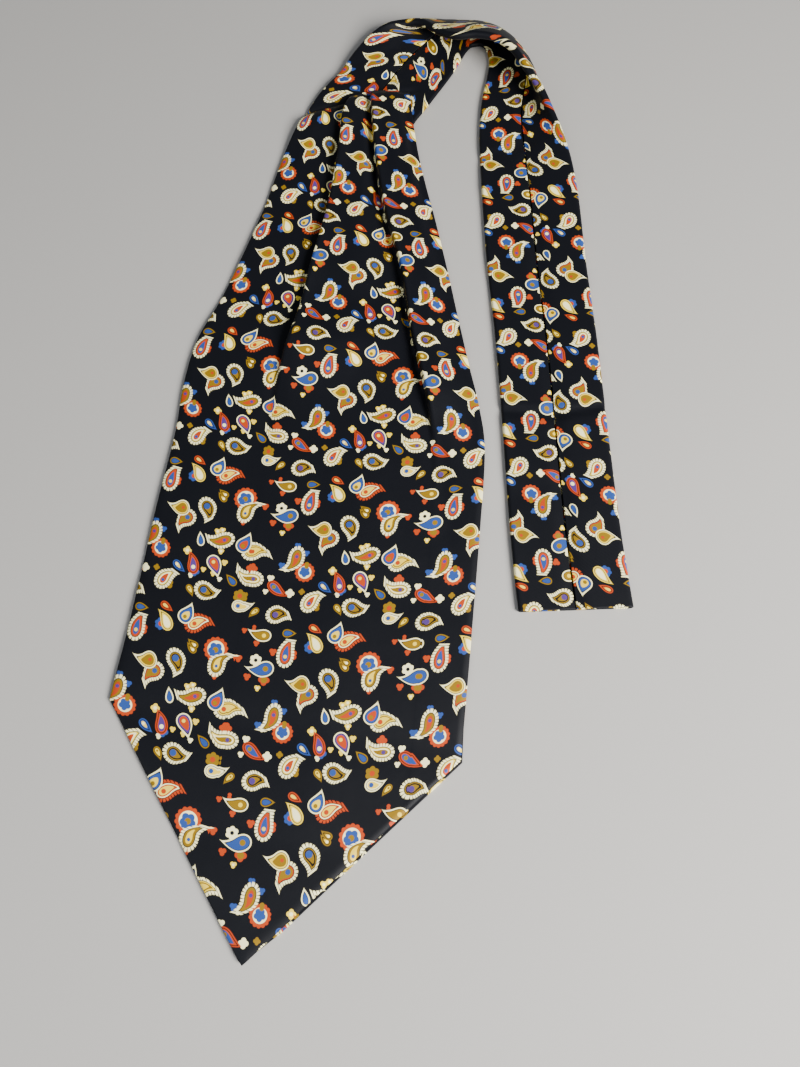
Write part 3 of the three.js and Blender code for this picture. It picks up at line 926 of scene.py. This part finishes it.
    def _roll(self, b: Array, ways: Array) -> Array:
        """How far the cloth turns down: nothing beyond the roll's reach from an edge, all at the edge.

        Args:
            b: row numbers, as rows by 1.
            ways: lengths of cloth from the left edge.
        Returns:
            Millimetres, down.
        """
        side = np.minimum(ways, ways[:, -1:] - ways)
        slant = (1 - np.clip(b - self.last, 0, 1)) * self.point_rise * self.slant_share
        edge = np.minimum(side, np.where(b > self.last, slant, np.inf))
        return self.edge_roll * (1 - np.sqrt(np.clip(edge / self.roll_reach, 0, 1)))

    def build(self) -> Object:
        """Works out the pleated surface, rolls its edges down to the back, and builds and dresses it.

        Height is the wall's rest over the facing, the folds' own rise, the soft creases, and a roll
        that lowers the cloth near the side edges and in the seam to the band.

        Returns:
            The front.
        """
        upper = steps(0, self.last, self.row_steps, self.pleated_length, first=True)
        point = steps(self.last, self.last + 1, self.point_steps, self.point_length, last=True)[1:]
        b = np.concatenate([upper, point])[:, None]
        row = np.minimum(b, self.last)
        across, up, ways, hidden = self._section(row)
        ground = self._ground(across, row)
        share = np.clip(across / across[:, -1:], 0, 1)
        down = np.clip(b - self.last, 0, 1)[:, :, None]
        ground = ground + (self.point_edge(share) - ground) * down
        x, y = ground[:, :, 0], ground[:, :, 1]
        creases = sum(line.at(x, y) for line in BLADE_CREASES)
        seam = self.seam_depth * hill(running_length(ground, 0), self.seam_reach)
        rest = self.over_facing + self.between_troughs * smooth(row / self.settled_rows)
        z = rest + self.table.through("lift", row) + up + self._pleat_puff(across, row)
        z = z + creases - self._roll(b, ways) * smooth(row) - seam
        print_across = self.print_left + ways + hidden
        print_along = self.print_row_y - y + REPEAT.bow(print_across)
        places, print_at = np.dstack([x, y, z]), np.dstack([print_across, print_along])
        front = ClothSheet("blade_front_silk", places, print_at, self.wall).build(self.silk)
        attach(front, "root")
        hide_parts("blade_front")
        area = self.cut_width * (self.cut_length - self.point_rise / 2) * MM * MM
        flat = (self.cut_width * MM, self.cut_length * MM)
        return front


@dataclass
class BladeFacing:
    """The back of the blade: the same silk, a little smaller, seen as a thin edge along the point.

    The cut's area is in square metres.
    """

    silk: Material
    front: BladeFront
    wall: float = 1.0
    wider_cut: float = 4.0
    cut_length: float = 462.0
    cut_area: float = 0.068
    width: float = 160.0
    inset: float = 1.0
    first_left: float = 1.2
    first_right: float = 1.45
    hidden_left: float = -0.7
    show_right: float = 1.5
    show_from: float = 0.47
    show_soft: float = 0.08
    outward: tuple[float, float] = (0.55, -0.8)
    peeps: tuple[tuple[float, float], ...] = ((214, 9), (120, 12), (18, 10), (-44, 9))
    peep_width: float = 1.7
    peep_share: float = 0.06
    print_shift: tuple[float, float] = (22.0, 9.0)
    steps_across: int = 22
    steps_down: tuple[int, int] = (60, 30)

    def build(self) -> Object:
        """Works out a flat sheet between the front's edges moved in, and out at the right slant.

        Returns:
            The facing.
        """
        front = self.front
        part = steps(0, 1, self.steps_across, self.width, first=True, last=True)[None, :]
        rise = steps(0, 1, self.steps_down[0], front.pleated_length, first=True)[:, None]
        first = self.first_left + (self.first_right - self.first_left) * part
        row = first + (front.last - first) * rise
        inset = np.array((self.inset, 0.0))
        left, right = front.line(0, row) + inset, front.line(len(front.lines) - 1, row) - inset
        upper = left + (right - left) * part[:, :, None]
        show = self.show_right * smooth((part - self.show_from) / self.show_soft)
        show = np.where(part < front.tip_share, self.hidden_left, show)
        edge = front.point_edge(part) + show[:, :, None] * np.array(self.outward)
        down = steps(0, 1, self.steps_down[1], front.point_length, last=True)[1:, None]
        lower = upper[-1:] + (edge - upper[-1:]) * down[:, :, None]
        ground = np.concatenate([upper, lower], axis=0)
        peep = sum(hill(ground[:, :, 1] - y, reach) for y, reach in self.peeps)
        ground[:, :, 0] -= self.peep_width * peep * (1 - smooth(part / self.peep_share))
        places = np.dstack([ground, np.full(ground.shape[:2], self.wall / 2 + LEAST_HEIGHT)])
        print_at = np.array(self.print_shift) - ground
        facing = ClothSheet("blade_facing_silk", places, print_at, self.wall).build(self.silk)
        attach(facing, "root")
        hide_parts("blade_facing")
        flat = ((front.cut_width + self.wider_cut) * MM, self.cut_length * MM)
        return facing


class Num:
    """One number in a material, carried by a socket; arithmetic on it makes Math nodes."""

    def __init__(self, tree: Tree, socket: Socket) -> None:
        """Args: the node tree and the socket that carries the number."""
        self.tree = tree
        self.socket = socket

    def math(self, kind: str, *others: "Num | float") -> "Num":
        """Args: kind of Math node and its other inputs. Returns: its result."""
        return math_node(self.tree, kind, self, *others)

    def __add__(self, other: "Num | float") -> "Num":
        """Sum."""
        return self.math("ADD", other)

    __radd__ = __add__

    def __sub__(self, other: "Num | float") -> "Num":
        """Difference."""
        return self.math("SUBTRACT", other)

    def __rsub__(self, other: "Num | float") -> "Num":
        """Difference from a plain number."""
        return math_node(self.tree, "SUBTRACT", other, self)

    def __mul__(self, other: "Num | float") -> "Num":
        """Product."""
        return self.math("MULTIPLY", other)

    __rmul__ = __mul__

    def __truediv__(self, other: "Num | float") -> "Num":
        """Quotient."""
        return self.math("DIVIDE", other)

    def __rtruediv__(self, other: "Num | float") -> "Num":
        """Quotient of a plain number."""
        return math_node(self.tree, "DIVIDE", other, self)

    def between(self, low: "Num | float", high: "Num | float") -> "Num":
        """Args: two edges. Returns: 1 where self is below the first, 0 above the second, soft between."""
        inputs = dict(enumerate((self, low, high, 1.0, 0.0)))
        node = add_node(self.tree, "ShaderNodeMapRange", {"clamp": True}, inputs)
        return Num(self.tree, node.outputs[0])


def join(tree: Tree, value: object, socket: Socket) -> None:
    """Gives a socket its value or its link.

    Args:
        tree: the socket's tree.
        value: a plain value, or the number or socket that carries it.
        socket: the input that takes it.
    """
    if isinstance(value, Num):
        tree.links.new(value.socket, socket)
    elif isinstance(value, Socket):
        tree.links.new(value, socket)
    else:
        socket.default_value = value


def add_node(tree: Tree, kind: str, settings: dict[str, object], inputs: dict[int | str, object]) -> Node:
    """Adds a node.

    Args:
        tree: the tree it goes in.
        kind: its type.
        settings: its properties by name, set first.
        inputs: the values or links of its sockets by place or name.
    Returns:
        The node.
    """
    node = tree.nodes.new(kind)
    for name, value in settings.items():
        setattr(node, name, value)
    for place, value in inputs.items():
        join(tree, value, node.inputs[place])
    return node


def math_node(tree: Tree, kind: str, *inputs: "Num | float") -> Num:
    """Args: tree, kind of Math node and its inputs. Returns: its result."""
    node = add_node(tree, "ShaderNodeMath", {"operation": kind}, dict(enumerate(inputs)))
    return Num(tree, node.outputs[0])


def rgba(colour: Colour | None) -> tuple[float, float, float, float]:
    """Args: a colour, or None for ink. Returns: the same with full cover."""
    return (*(colour or INK).value, 1.0)


def plain_colour(tree: Tree, colour: Colour) -> Socket:
    """Args: tree and a colour. Returns: a socket that carries it."""
    node = add_node(tree, "ShaderNodeRGB", {}, {})
    node.outputs[0].default_value = rgba(colour)
    return node.outputs[0]


def mix(tree: Tree, share: Num, under: Socket, over: Socket) -> Socket:
    """Lays one colour over another.

    Args:
        tree: the tree it goes in.
        share: how much of the upper colour shows.
        under: the lower colour.
        over: the upper colour.
    Returns:
        The mixed colour.
    """
    node = add_node(tree, "ShaderNodeMix", {"data_type": "RGBA"}, {})
    for name, value in (("Factor", share), ("A", under), ("B", over)):
        join(tree, value, next(s for s in node.inputs if s.name == name and s.enabled))
    return next(s for s in node.outputs if s.enabled)


@dataclass
class PrintGroups:
    """The drawing groups that the print is made of: a paisley, with or without beads, and a blossom."""

    repeat: Repeat = REPEAT
    blur: float = 0.14
    head_at: float = -0.38
    head_beads: float = 8.2
    tail_beads: float = 13.5
    tail_end: float = 0.82
    bead_gap: tuple[float, float] = (0.16, 0.52)
    bead_width: float = 1.15
    rim_width: float = 0.60
    line_width: float = 0.40
    least_slope: float = 0.03
    least_depth: float = 0.04

    def _start(self, name: str, numbers: Sequence[str], colours: Sequence[str]) -> tuple[Tree, Node, Node]:
        """Makes a group whose inputs are the colour below, the place, numbers and colours.

        Args:
            name: name of the group.
            numbers: names of its number inputs.
            colours: names of its colour inputs.
        Returns:
            The tree, its input node and its output node.
        """
        tree = bpy.data.node_groups.new(name, "ShaderNodeTree")
        kinds = {"Below": "Color"}
        kinds |= dict.fromkeys(("Across", "Along", "Middle across", "Middle along", *numbers), "Float")
        kinds |= dict.fromkeys(colours, "Color")
        for title, kind in kinds.items():
            tree.interface.new_socket(title, in_out="INPUT", socket_type=f"NodeSocket{kind}")
        tree.interface.new_socket("Colour", in_out="OUTPUT", socket_type="NodeSocketColor")
        return tree, tree.nodes.new("NodeGroupInput"), tree.nodes.new("NodeGroupOutput")

    def _local(self, tree: Tree, source: Node) -> list[Num]:
        """Finds the place within a motif, measured from the nearest repeat of its middle.

        Args:
            tree: the group's tree.
            source: its input node.
        Returns:
            Place across and along.
        """
        places = []
        for way, size in (("across", self.repeat.across), ("along", self.repeat.along)):
            place, middle = (Num(tree, source.outputs[name]) for name in (way.capitalize(), f"Middle {way}"))
            places.append((place - middle).math("WRAP", size / 2, -size / 2))
        return places

    def paisley(self, beaded: bool) -> Tree:
        """Draws a paisley.

        With x across and y along it from -1 to 1, its edge is where
        x² = K (1 + y)(1 - y)(blunt + (1 - blunt)|1 - y|), after x is moved by the bend times y² where y
        is above 0. The distance to that edge is the difference over its slope.

        Args:
            beaded: True for a ring of beads round the rim.
        Returns:
            The group.
        """
        numbers = ("Cosine", "Sine", "Half", "K", "Bend", "Blunt", "Core at", "Eye low", "Eye high")
        colours = ("Bead colour", "Rim", "Body", "Core", "Eye")
        tree, source, sink = self._start("beaded paisley" if beaded else "paisley", numbers, colours)
        take = {name: Num(tree, source.outputs[name]) for name in numbers}
        right, down = self._local(tree, source)
        y = right * take["Sine"] - down * take["Cosine"]
        lean = y.math("MAXIMUM", 0.0)
        x = right * take["Cosine"] + down * take["Sine"] - take["Bend"] * lean * lean
        ahead = 1.0 - y
        share = ahead.math("ABSOLUTE").math("MULTIPLY_ADD", 1.0 - take["Blunt"], take["Blunt"])
        wide = take["K"] * ahead
        below = wide * share * (y + 1.0)
        slope = wide * y.math("MULTIPLY_ADD", 3.0, 1.0)
        square = x * x
        steep = slope.math("MULTIPLY_ADD", slope, square * 4.0).math("SQRT") + self.least_slope
        distance = (square - below) / steep * take["Half"]
        from_head = y - self.head_at
        colour = source.outputs["Below"]
        dark = plain_colour(tree, INK)
        rim, body = source.outputs["Rim"], source.outputs["Body"]
        zones = [(0.0, rim), (-self.rim_width, dark), (-self.rim_width - self.line_width, body)]
        if beaded:
            distance = distance.math("MAXIMUM", (y - self.tail_end) * take["Half"])
            turn = x.math("ABSOLUTE").math("ARCTAN2", 0.0 - from_head.math("MINIMUM", 0.0)) * self.head_beads
            phase = from_head.math("MAXIMUM", 0.0).math("MULTIPLY_ADD", self.tail_beads, turn)
            gap = phase.math("COSINE").math("ABSOLUTE").between(*self.bead_gap)
            edges = (self.bead_width - self.blur, self.bead_width + self.blur)
            ring = (distance + gap * self.bead_width).between(*edges)
            colour = mix(tree, ring, colour, source.outputs["Bead colour"])
            zones = [(0.0, dark), (-self.line_width, rim), (-self.line_width - self.rim_width, body)]
        for edge, shade in zones:
            colour = mix(tree, distance.between(edge - self.blur, edge + self.blur), colour, shade)
        inner = (distance + take["Core at"]).between(-self.blur, self.blur)
        colour = mix(tree, inner, colour, source.outputs["Core"])
        from_eye = from_head.math("MULTIPLY_ADD", from_head, square)
        colour = mix(tree, from_eye.between(take["Eye low"], take["Eye high"]), colour, source.outputs["Eye"])
        join(tree, colour, sink.inputs["Colour"])
        return tree

    def petal_depth(self, lobes: int) -> float:
        """Args: how many petals. Returns: the gap between two petals, as a share of the radius."""
        return 1.0 / lobes + self.least_depth

    def blossom(self, with_eye: bool) -> Tree:
        """Draws a blossom: a disc whose radius swells with the size of the cosine of half the angle
        times its lobes, so that each petal is round and the gap between two is sharp.

        Args:
            with_eye: True for a second colour in its middle.
        Returns:
            The group.
        """
        numbers = ("Half lobes", "Depth", "Low", "High", "Eye low", "Eye high")
        name = "eyed blossom" if with_eye else "blossom"
        tree, source, sink = self._start(name, numbers, ("Petals", "Eye"))
        take = {name: Num(tree, source.outputs[name]) for name in numbers}
        right, down = self._local(tree, source)
        away = right.math("MULTIPLY_ADD", right, down * down).math("SQRT")
        petals = (right.math("ARCTAN2", down) * take["Half lobes"]).math("COSINE").math("ABSOLUTE")
        swell = petals.math("MULTIPLY_ADD", take["Depth"], 1.0 - take["Depth"])
        share = (away / swell).between(take["Low"], take["High"])
        colour = mix(tree, share, source.outputs["Below"], source.outputs["Petals"])
        if with_eye:
            eye = away.between(take["Eye low"], take["Eye high"])
            colour = mix(tree, eye, colour, source.outputs["Eye"])
        join(tree, colour, sink.inputs["Colour"])
        return tree


@dataclass(frozen=True)
class Drawing:
    """One motif ready to draw: its place on the flat cloth, its reach, its group and the group's inputs."""

    across: float
    along: float
    reach: float
    group: Tree
    inputs: dict[str, object]


@dataclass
class PrintedSilk:
    """The silk's material: black twill with its print of paisleys and buds."""

    finish: Silk = field(default_factory=Silk)
    groups: PrintGroups = field(default_factory=PrintGroups)
    repeat: Repeat = REPEAT
    fields: tuple[int, int] = (3, 3)
    greatest_share: float = 1.185
    no_eye: tuple[float, float] = (-1.0, -0.9)

    def _blossom_inputs(self, bud: Blossom) -> dict[str, object]:
        """Args: a bud. Returns: the inputs of its drawing group."""
        blur = self.groups.blur
        return {
            "Half lobes": bud.lobes / 2, "Depth": self.groups.petal_depth(bud.lobes),
            "Low": bud.radius - blur, "High": bud.radius + blur,
            "Eye low": bud.eye_radius - blur, "Eye high": bud.eye_radius + blur,
            "Petals": rgba(bud.colour), "Eye": rgba(bud.eye),
        }

    def _paisley_inputs(self, motif: Paisley) -> dict[str, object]:
        """Works out how a paisley is drawn: turned, scaled to its half length, and with its colours.

        K is the width's square over the greatest value that the rest of the edge's formula has.

        Args:
            motif: the paisley.
        Returns:
            The inputs of its drawing group by name.
        """
        turn = math.radians(motif.tip)
        soft = self.groups.blur / motif.half
        eye = self.no_eye
        if motif.eye_radius:
            eye = (max(motif.eye_radius - soft, 0.0) ** 2, (motif.eye_radius + soft) ** 2)
        return {
            "Cosine": math.cos(turn) / motif.half, "Sine": math.sin(turn) / motif.half,
            "Half": motif.half, "K": motif.width**2 / self.greatest_share, "Bend": motif.bend,
            "Blunt": motif.blunt, "Core at": motif.core_at, "Eye low": eye[0], "Eye high": eye[1],
            "Bead colour": rgba(motif.beads), "Rim": rgba(motif.rim), "Body": rgba(motif.body),
            "Core": rgba(motif.core), "Eye": rgba(motif.eye),
        }

    def _drawings(self) -> list[Drawing]:
        """Makes the drawing groups and gives each motif its own.

        Returns:
            The motifs from the lowest to the topmost.
        """
        blossoms = [self.groups.blossom(with_eye) for with_eye in (False, True)]
        paisleys = [self.groups.paisley(beaded) for beaded in (False, True)]
        drawings = []
        for bud in BUDS_BEHIND:
            reach = bud.radius + self.groups.blur
            group = blossoms[bud.eye_radius > 0]
            place = self.repeat.place(bud.right, bud.down)
            drawings.append(Drawing(*place, reach, group, self._blossom_inputs(bud)))
        for motif in PAISLEYS:
            reach = motif.half * math.hypot(1.0, motif.bend) + self.groups.bead_width + self.groups.blur
            group = paisleys[motif.beads is not None]
            place = self.repeat.place(motif.right, motif.down)
            drawings.append(Drawing(*place, reach, group, self._paisley_inputs(motif)))
        return drawings

    def _reaches(self, drawing: Drawing, field_at: tuple[int, int]) -> bool:
        """Whether a motif can show in one field of the repeat.

        Args:
            drawing: the motif.
            field_at: the field's column and row.
        Returns:
            True if it can.
        """
        sizes = (self.repeat.across, self.repeat.along)
        for centre, size, count, at in zip((drawing.across, drawing.along), sizes, self.fields, field_at):
            away = (centre - (at + 0.5) * size / count + size / 2) % size - size / 2
            if abs(away) > size / count / 2 + drawing.reach:
                return False
        return True

    def _print(self, tree: Tree, place: Sequence[Num], drawings: Sequence[Drawing]) -> Socket:
        """Draws motifs over each other.

        Args:
            tree: the material's tree.
            place: place across and along the print.
            drawings: the motifs, the lowest first.
        Returns:
            The colour of the print.
        """
        colour = plain_colour(tree, INK)
        for drawing in drawings:
            inputs = {
                "Across": place[0], "Along": place[1], "Below": colour,
                "Middle across": drawing.across, "Middle along": drawing.along, **drawing.inputs,
            }
            node = add_node(tree, "ShaderNodeGroup", {"node_tree": drawing.group}, inputs)
            colour = node.outputs["Colour"]
        return colour

    def _weave(self, tree: Tree, cloth: Socket, place: Sequence[Num]) -> Node:
        """Makes the twill's fine slanting lines, a sine across them, and the soft slubs of the silk.

        Args:
            tree: the material's tree.
            cloth: the cloth's map.
            place: place across and along it.
        Returns:
            The node that bumps the surface.
        """
        finish = self.finish
        across = place[0] * finish.twill_way[0] + place[1] * finish.twill_way[1]
        twill = (across * (math.tau / finish.twill_pitch)).math("SINE") * finish.twill_height
        inputs = {"Scale": finish.slub_scale, "Detail": finish.slub_detail, "Vector": cloth}
        noise = add_node(tree, "ShaderNodeTexNoise", {"noise_dimensions": "2D"}, inputs)
        height = twill + Num(tree, noise.outputs[0]) * finish.slub_height
        return add_node(tree, "ShaderNodeBump", {}, {"Strength": 1.0, "Distance": MM, "Height": height})

    def build(self) -> Material:
        """Makes the material. The repeat is shared out over fields, each with a shader of its own that
        draws only the motifs that reach it, and a chain of mixes picks the field's shader.

        Returns:
            The material.
        """
        drawings = self._drawings()
        material = bpy.data.materials.new("printed_silk")
        material.use_nodes = True
        tree = material.node_tree
        tree.nodes.remove(tree.nodes["Principled BSDF"])
        cloth = add_node(tree, "ShaderNodeUVMap", {"uv_map": "cloth"}, {}).outputs["UV"]
        parts = add_node(tree, "ShaderNodeSeparateXYZ", {}, {0: cloth})
        place = [Num(tree, parts.outputs[axis]) for axis in "XY"]
        column, row = (
            (way.math("WRAP", size, 0.0) * (count / size)).math("FLOOR")
            for way, size, count in zip(place, (self.repeat.across, self.repeat.along), self.fields)
        )
        number = column + row * float(self.fields[0])
        weave = self._weave(tree, cloth, place)
        closure = None
        for k in range(self.fields[0] * self.fields[1]):
            field_at = (k % self.fields[0], k // self.fields[0])
            shown = [drawing for drawing in drawings if self._reaches(drawing, field_at)]
            shader = add_node(tree, "ShaderNodeBsdfPrincipled", {}, {
                "Base Color": self._print(tree, place, shown),
                "Normal": weave.outputs[0], "Roughness": self.finish.roughness,
                "Sheen Weight": self.finish.sheen, "Sheen Roughness": self.finish.sheen_roughness,
                "Specular IOR Level": self.finish.specular,
            })
            if closure is None:
                closure = shader.outputs[0]
                continue
            later = number.math("GREATER_THAN", k - 0.5)
            pick = add_node(tree, "ShaderNodeMixShader", {}, {0: later, 1: closure, 2: shader.outputs[0]})
            closure = pick.outputs[0]
        join(tree, closure, tree.nodes["Material Output"].inputs["Surface"])
        return material


@dataclass(frozen=True)
class Lamp:
    """A soft square lamp: its place, what it points at, its side and power."""

    name: str
    place: tuple[float, float, float]
    at: tuple[float, float, float]
    side: float
    power: float
    tint: tuple[float, float, float]


@dataclass
class Studio:
    """The pale floor, the soft lamps and the camera at the photograph's angle."""

    camera_place: tuple[float, float, float] = (0.0114, -0.2030, 0.3860)
    camera_at: tuple[float, float, float] = (0.0114, -0.0739, 0.0)
    lens: float = 27.03
    film_width: float = 36.0
    nearest: float = 0.01
    floor_side: float = 6.0
    floor_colour: tuple[float, float, float, float] = (0.36, 0.35, 0.335, 1.0)
    floor_roughness: float = 0.75
    world_colour: tuple[float, float, float, float] = (0.80, 0.84, 0.90, 1.0)
    world_power: float = 0.24
    lamps: tuple[Lamp, ...] = (
        Lamp("window", (0.90, -0.70, 0.80), (0.0, -0.05, 0.0), 0.65, 65.0, (1.0, 0.98, 0.95)),
        Lamp("fill", (-0.8, -0.8, 1.1), (0.0, -0.05, 0.0), 1.1, 9.0, (0.92, 0.96, 1.0)),
    )

    def _floor(self) -> Object:
        """Makes the pale floor, which isn't part of the object.

        Returns:
            The floor.
        """
        half = self.floor_side / 2
        corners = [(-half, -half, 0.0), (half, -half, 0.0), (half, half, 0.0), (-half, half, 0.0)]
        mesh = bpy.data.meshes.new("floor")
        mesh.from_pydata(corners, [], [(0, 1, 2, 3)])
        floor = bpy.data.objects.new("floor", mesh)
        bpy.context.scene.collection.objects.link(floor)
        material = bpy.data.materials.new("pale_floor")
        material.use_nodes = True
        shader = material.node_tree.nodes["Principled BSDF"]
        shader.inputs["Base Color"].default_value = self.floor_colour
        shader.inputs["Roughness"].default_value = self.floor_roughness
        mesh.materials.append(material)
        return floor

    def _aim(self, thing: Object, place: Sequence[float], at: Sequence[float]) -> None:
        """Places a lamp or the camera and turns it.

        Args:
            thing: the lamp or camera.
            place: where it stands.
            at: the point it looks at.
        """
        thing.location = place
        way = Vector(at) - Vector(place)
        thing.rotation_euler = way.to_track_quat("-Z", "Y").to_euler()

    def build(self) -> Object:
        """Sets the world's light, the lamps and the camera, and makes the floor.

        Returns:
            The floor.
        """
        scene = bpy.context.scene
        world = bpy.data.worlds.new("studio")
        world.use_nodes = True
        background = world.node_tree.nodes["Background"]
        background.inputs["Color"].default_value = self.world_colour
        background.inputs["Strength"].default_value = self.world_power
        scene.world = world
        for lamp in self.lamps:
            light = bpy.data.lights.new(lamp.name, "AREA")
            light.shape = "SQUARE"
            light.size = lamp.side
            light.energy = lamp.power
            light.color = lamp.tint
            made = bpy.data.objects.new(lamp.name, light)
            scene.collection.objects.link(made)
            self._aim(made, lamp.place, lamp.at)
        eye = bpy.data.cameras.new("camera")
        eye.lens = self.lens
        eye.sensor_width = self.film_width
        eye.clip_start = self.nearest
        camera = bpy.data.objects.new("camera", eye)
        scene.collection.objects.link(camera)
        self._aim(camera, self.camera_place, self.camera_at)
        scene.camera = camera
        return self._floor()


def report(piece: Object) -> None:
    """Args: a finished piece, named in the log with its size."""
    size = ", ".join(f"{value / MM:.1f}" for value in piece.dimensions)
    LOG.info("%s: %s mm, %d faces", piece.name, size, len(piece.data.polygons))


def main() -> None:
    """Builds the studio and the cravat's pieces in order, and notes the size of each."""
    logging.basicConfig(level=logging.INFO, format="%(message)s")
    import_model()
    silk = PrintedSilk().build()
    report(Studio().build())
    front = BladeFront(silk)
    report(BladeFacing(silk, front).build())
    report(front.build())
    report(NeckBand(silk).build())


if __name__ == "__main__":
    main()
